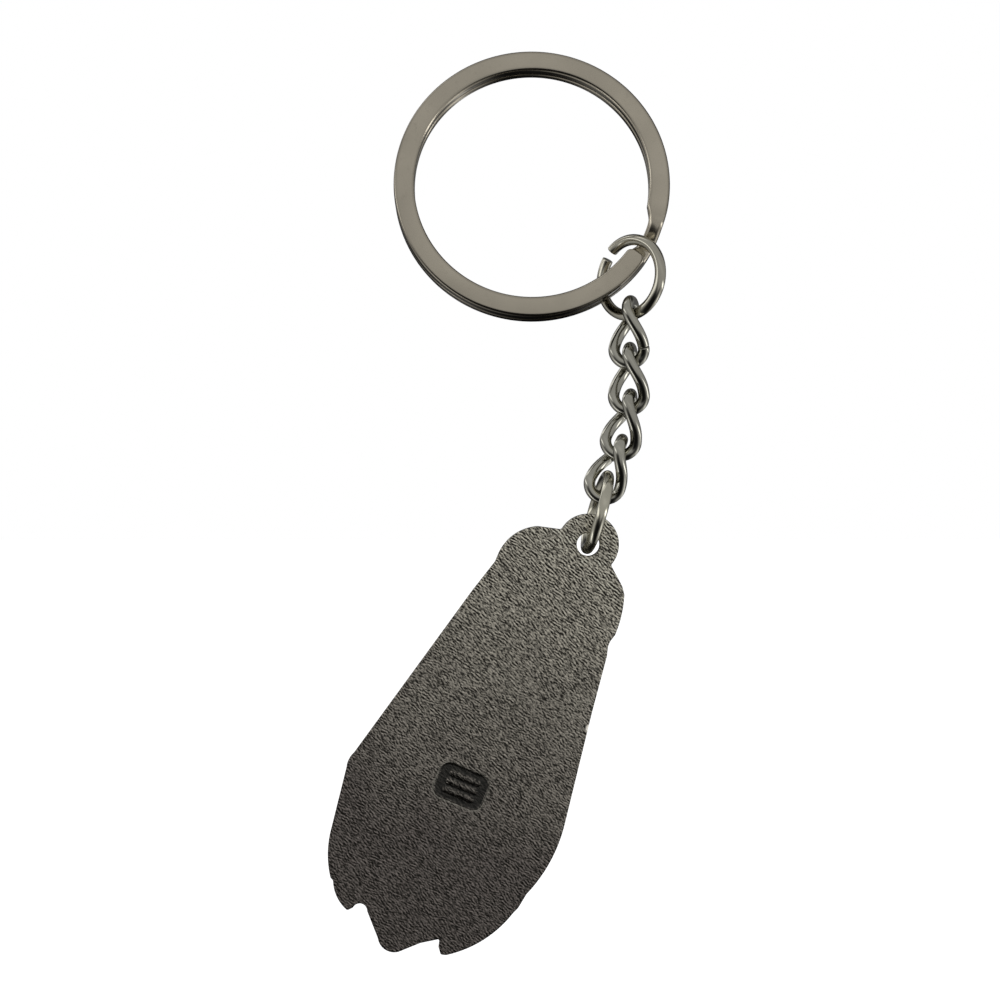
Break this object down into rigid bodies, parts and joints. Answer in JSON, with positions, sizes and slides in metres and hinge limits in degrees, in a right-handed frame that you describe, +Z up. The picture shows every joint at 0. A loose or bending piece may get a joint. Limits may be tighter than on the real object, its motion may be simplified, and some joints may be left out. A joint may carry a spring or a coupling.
{
  "type": "keychain",
  "caption": "Metal split ring on a short twisted curb chain, with a heavy cast charm hanging from it, shown from the charm's plain textured back.",
  "frame": {"origin": "middle of the underside of the bounding box, directly below the middle of the hanging keychain", "axes": "the keychain hangs in the XZ plane: +Z runs up its length from the charm to the split ring, -Y is the way the charm's plain back faces, and +X is to the right seen from -Y"},
  "size_m": [0.037, 0.0104, 0.0981],
  "materials": {
    "ring_steel": "polished warm black-nickel plating on flat steel wire",
    "wire_steel": "polished warm black-nickel plating on round steel wire",
    "charm_zinc": "warm black-nickel plating on cast zinc alloy, with a fine orange-peel texture on the back"
  },
  "bodies": {
    "split_ring": {"split_ring": "ring_steel"},
    "upper_jump_ring": {"upper_jump_ring": "wire_steel"},
    "chain_link_1": {"chain_link_1": "wire_steel"},
    "chain_link_2": {"chain_link_2": "wire_steel"},
    "chain_link_3": {"chain_link_3": "wire_steel"},
    "chain_link_4": {"chain_link_4": "wire_steel"},
    "lower_jump_ring": {"lower_jump_ring": "wire_steel"},
    "charm": {"charm": "charm_zinc"}
  },
  "joints": [
    {"name": "upper_ring_swing", "type": "hinge", "parent": "split_ring", "child": "upper_jump_ring", "pos_m": [0.01371, -0.00029, 0.07392], "axis": [0.6756, 0.128, 0.7261], "range_deg": [-6, 24]},
    {"name": "link_1_swing", "type": "hinge", "parent": "upper_jump_ring", "child": "chain_link_1", "pos_m": [0.01406, -0.00128, 0.06886], "axis": [0.7305, -0.6808, 0.0537], "range_deg": [-30, 38]},
    {"name": "link_2_swing", "type": "hinge", "parent": "chain_link_1", "child": "chain_link_2", "pos_m": [0.01407, -0.00097, 0.06538], "axis": [-0.2249, -0.9744, 0.0063], "range_deg": [-24, 50]},
    {"name": "link_3_swing", "type": "hinge", "parent": "chain_link_2", "child": "chain_link_3", "pos_m": [0.01388, -0.00097, 0.05864], "axis": [0.974, -0.225, -0.0272], "range_deg": [-30, 55]},
    {"name": "link_4_swing", "type": "hinge", "parent": "chain_link_3", "child": "chain_link_4", "pos_m": [0.0132, -0.00145, 0.05547], "axis": [-0.0881, -0.996, 0.0138], "range_deg": [-20, 60]},
    {"name": "lower_ring_swing", "type": "hinge", "parent": "chain_link_4", "child": "lower_jump_ring", "pos_m": [0.01075, -0.00132, 0.04919], "axis": [0.9275, -0.0871, -0.3634], "range_deg": [-20, 8]},
    {"name": "charm_swing", "type": "hinge", "parent": "lower_jump_ring", "child": "charm", "pos_m": [0.00944, -0.00064, 0.04374], "axis": [0.0782, -0.9969, 0.0113], "range_deg": [-25, 60]}
  ]
}
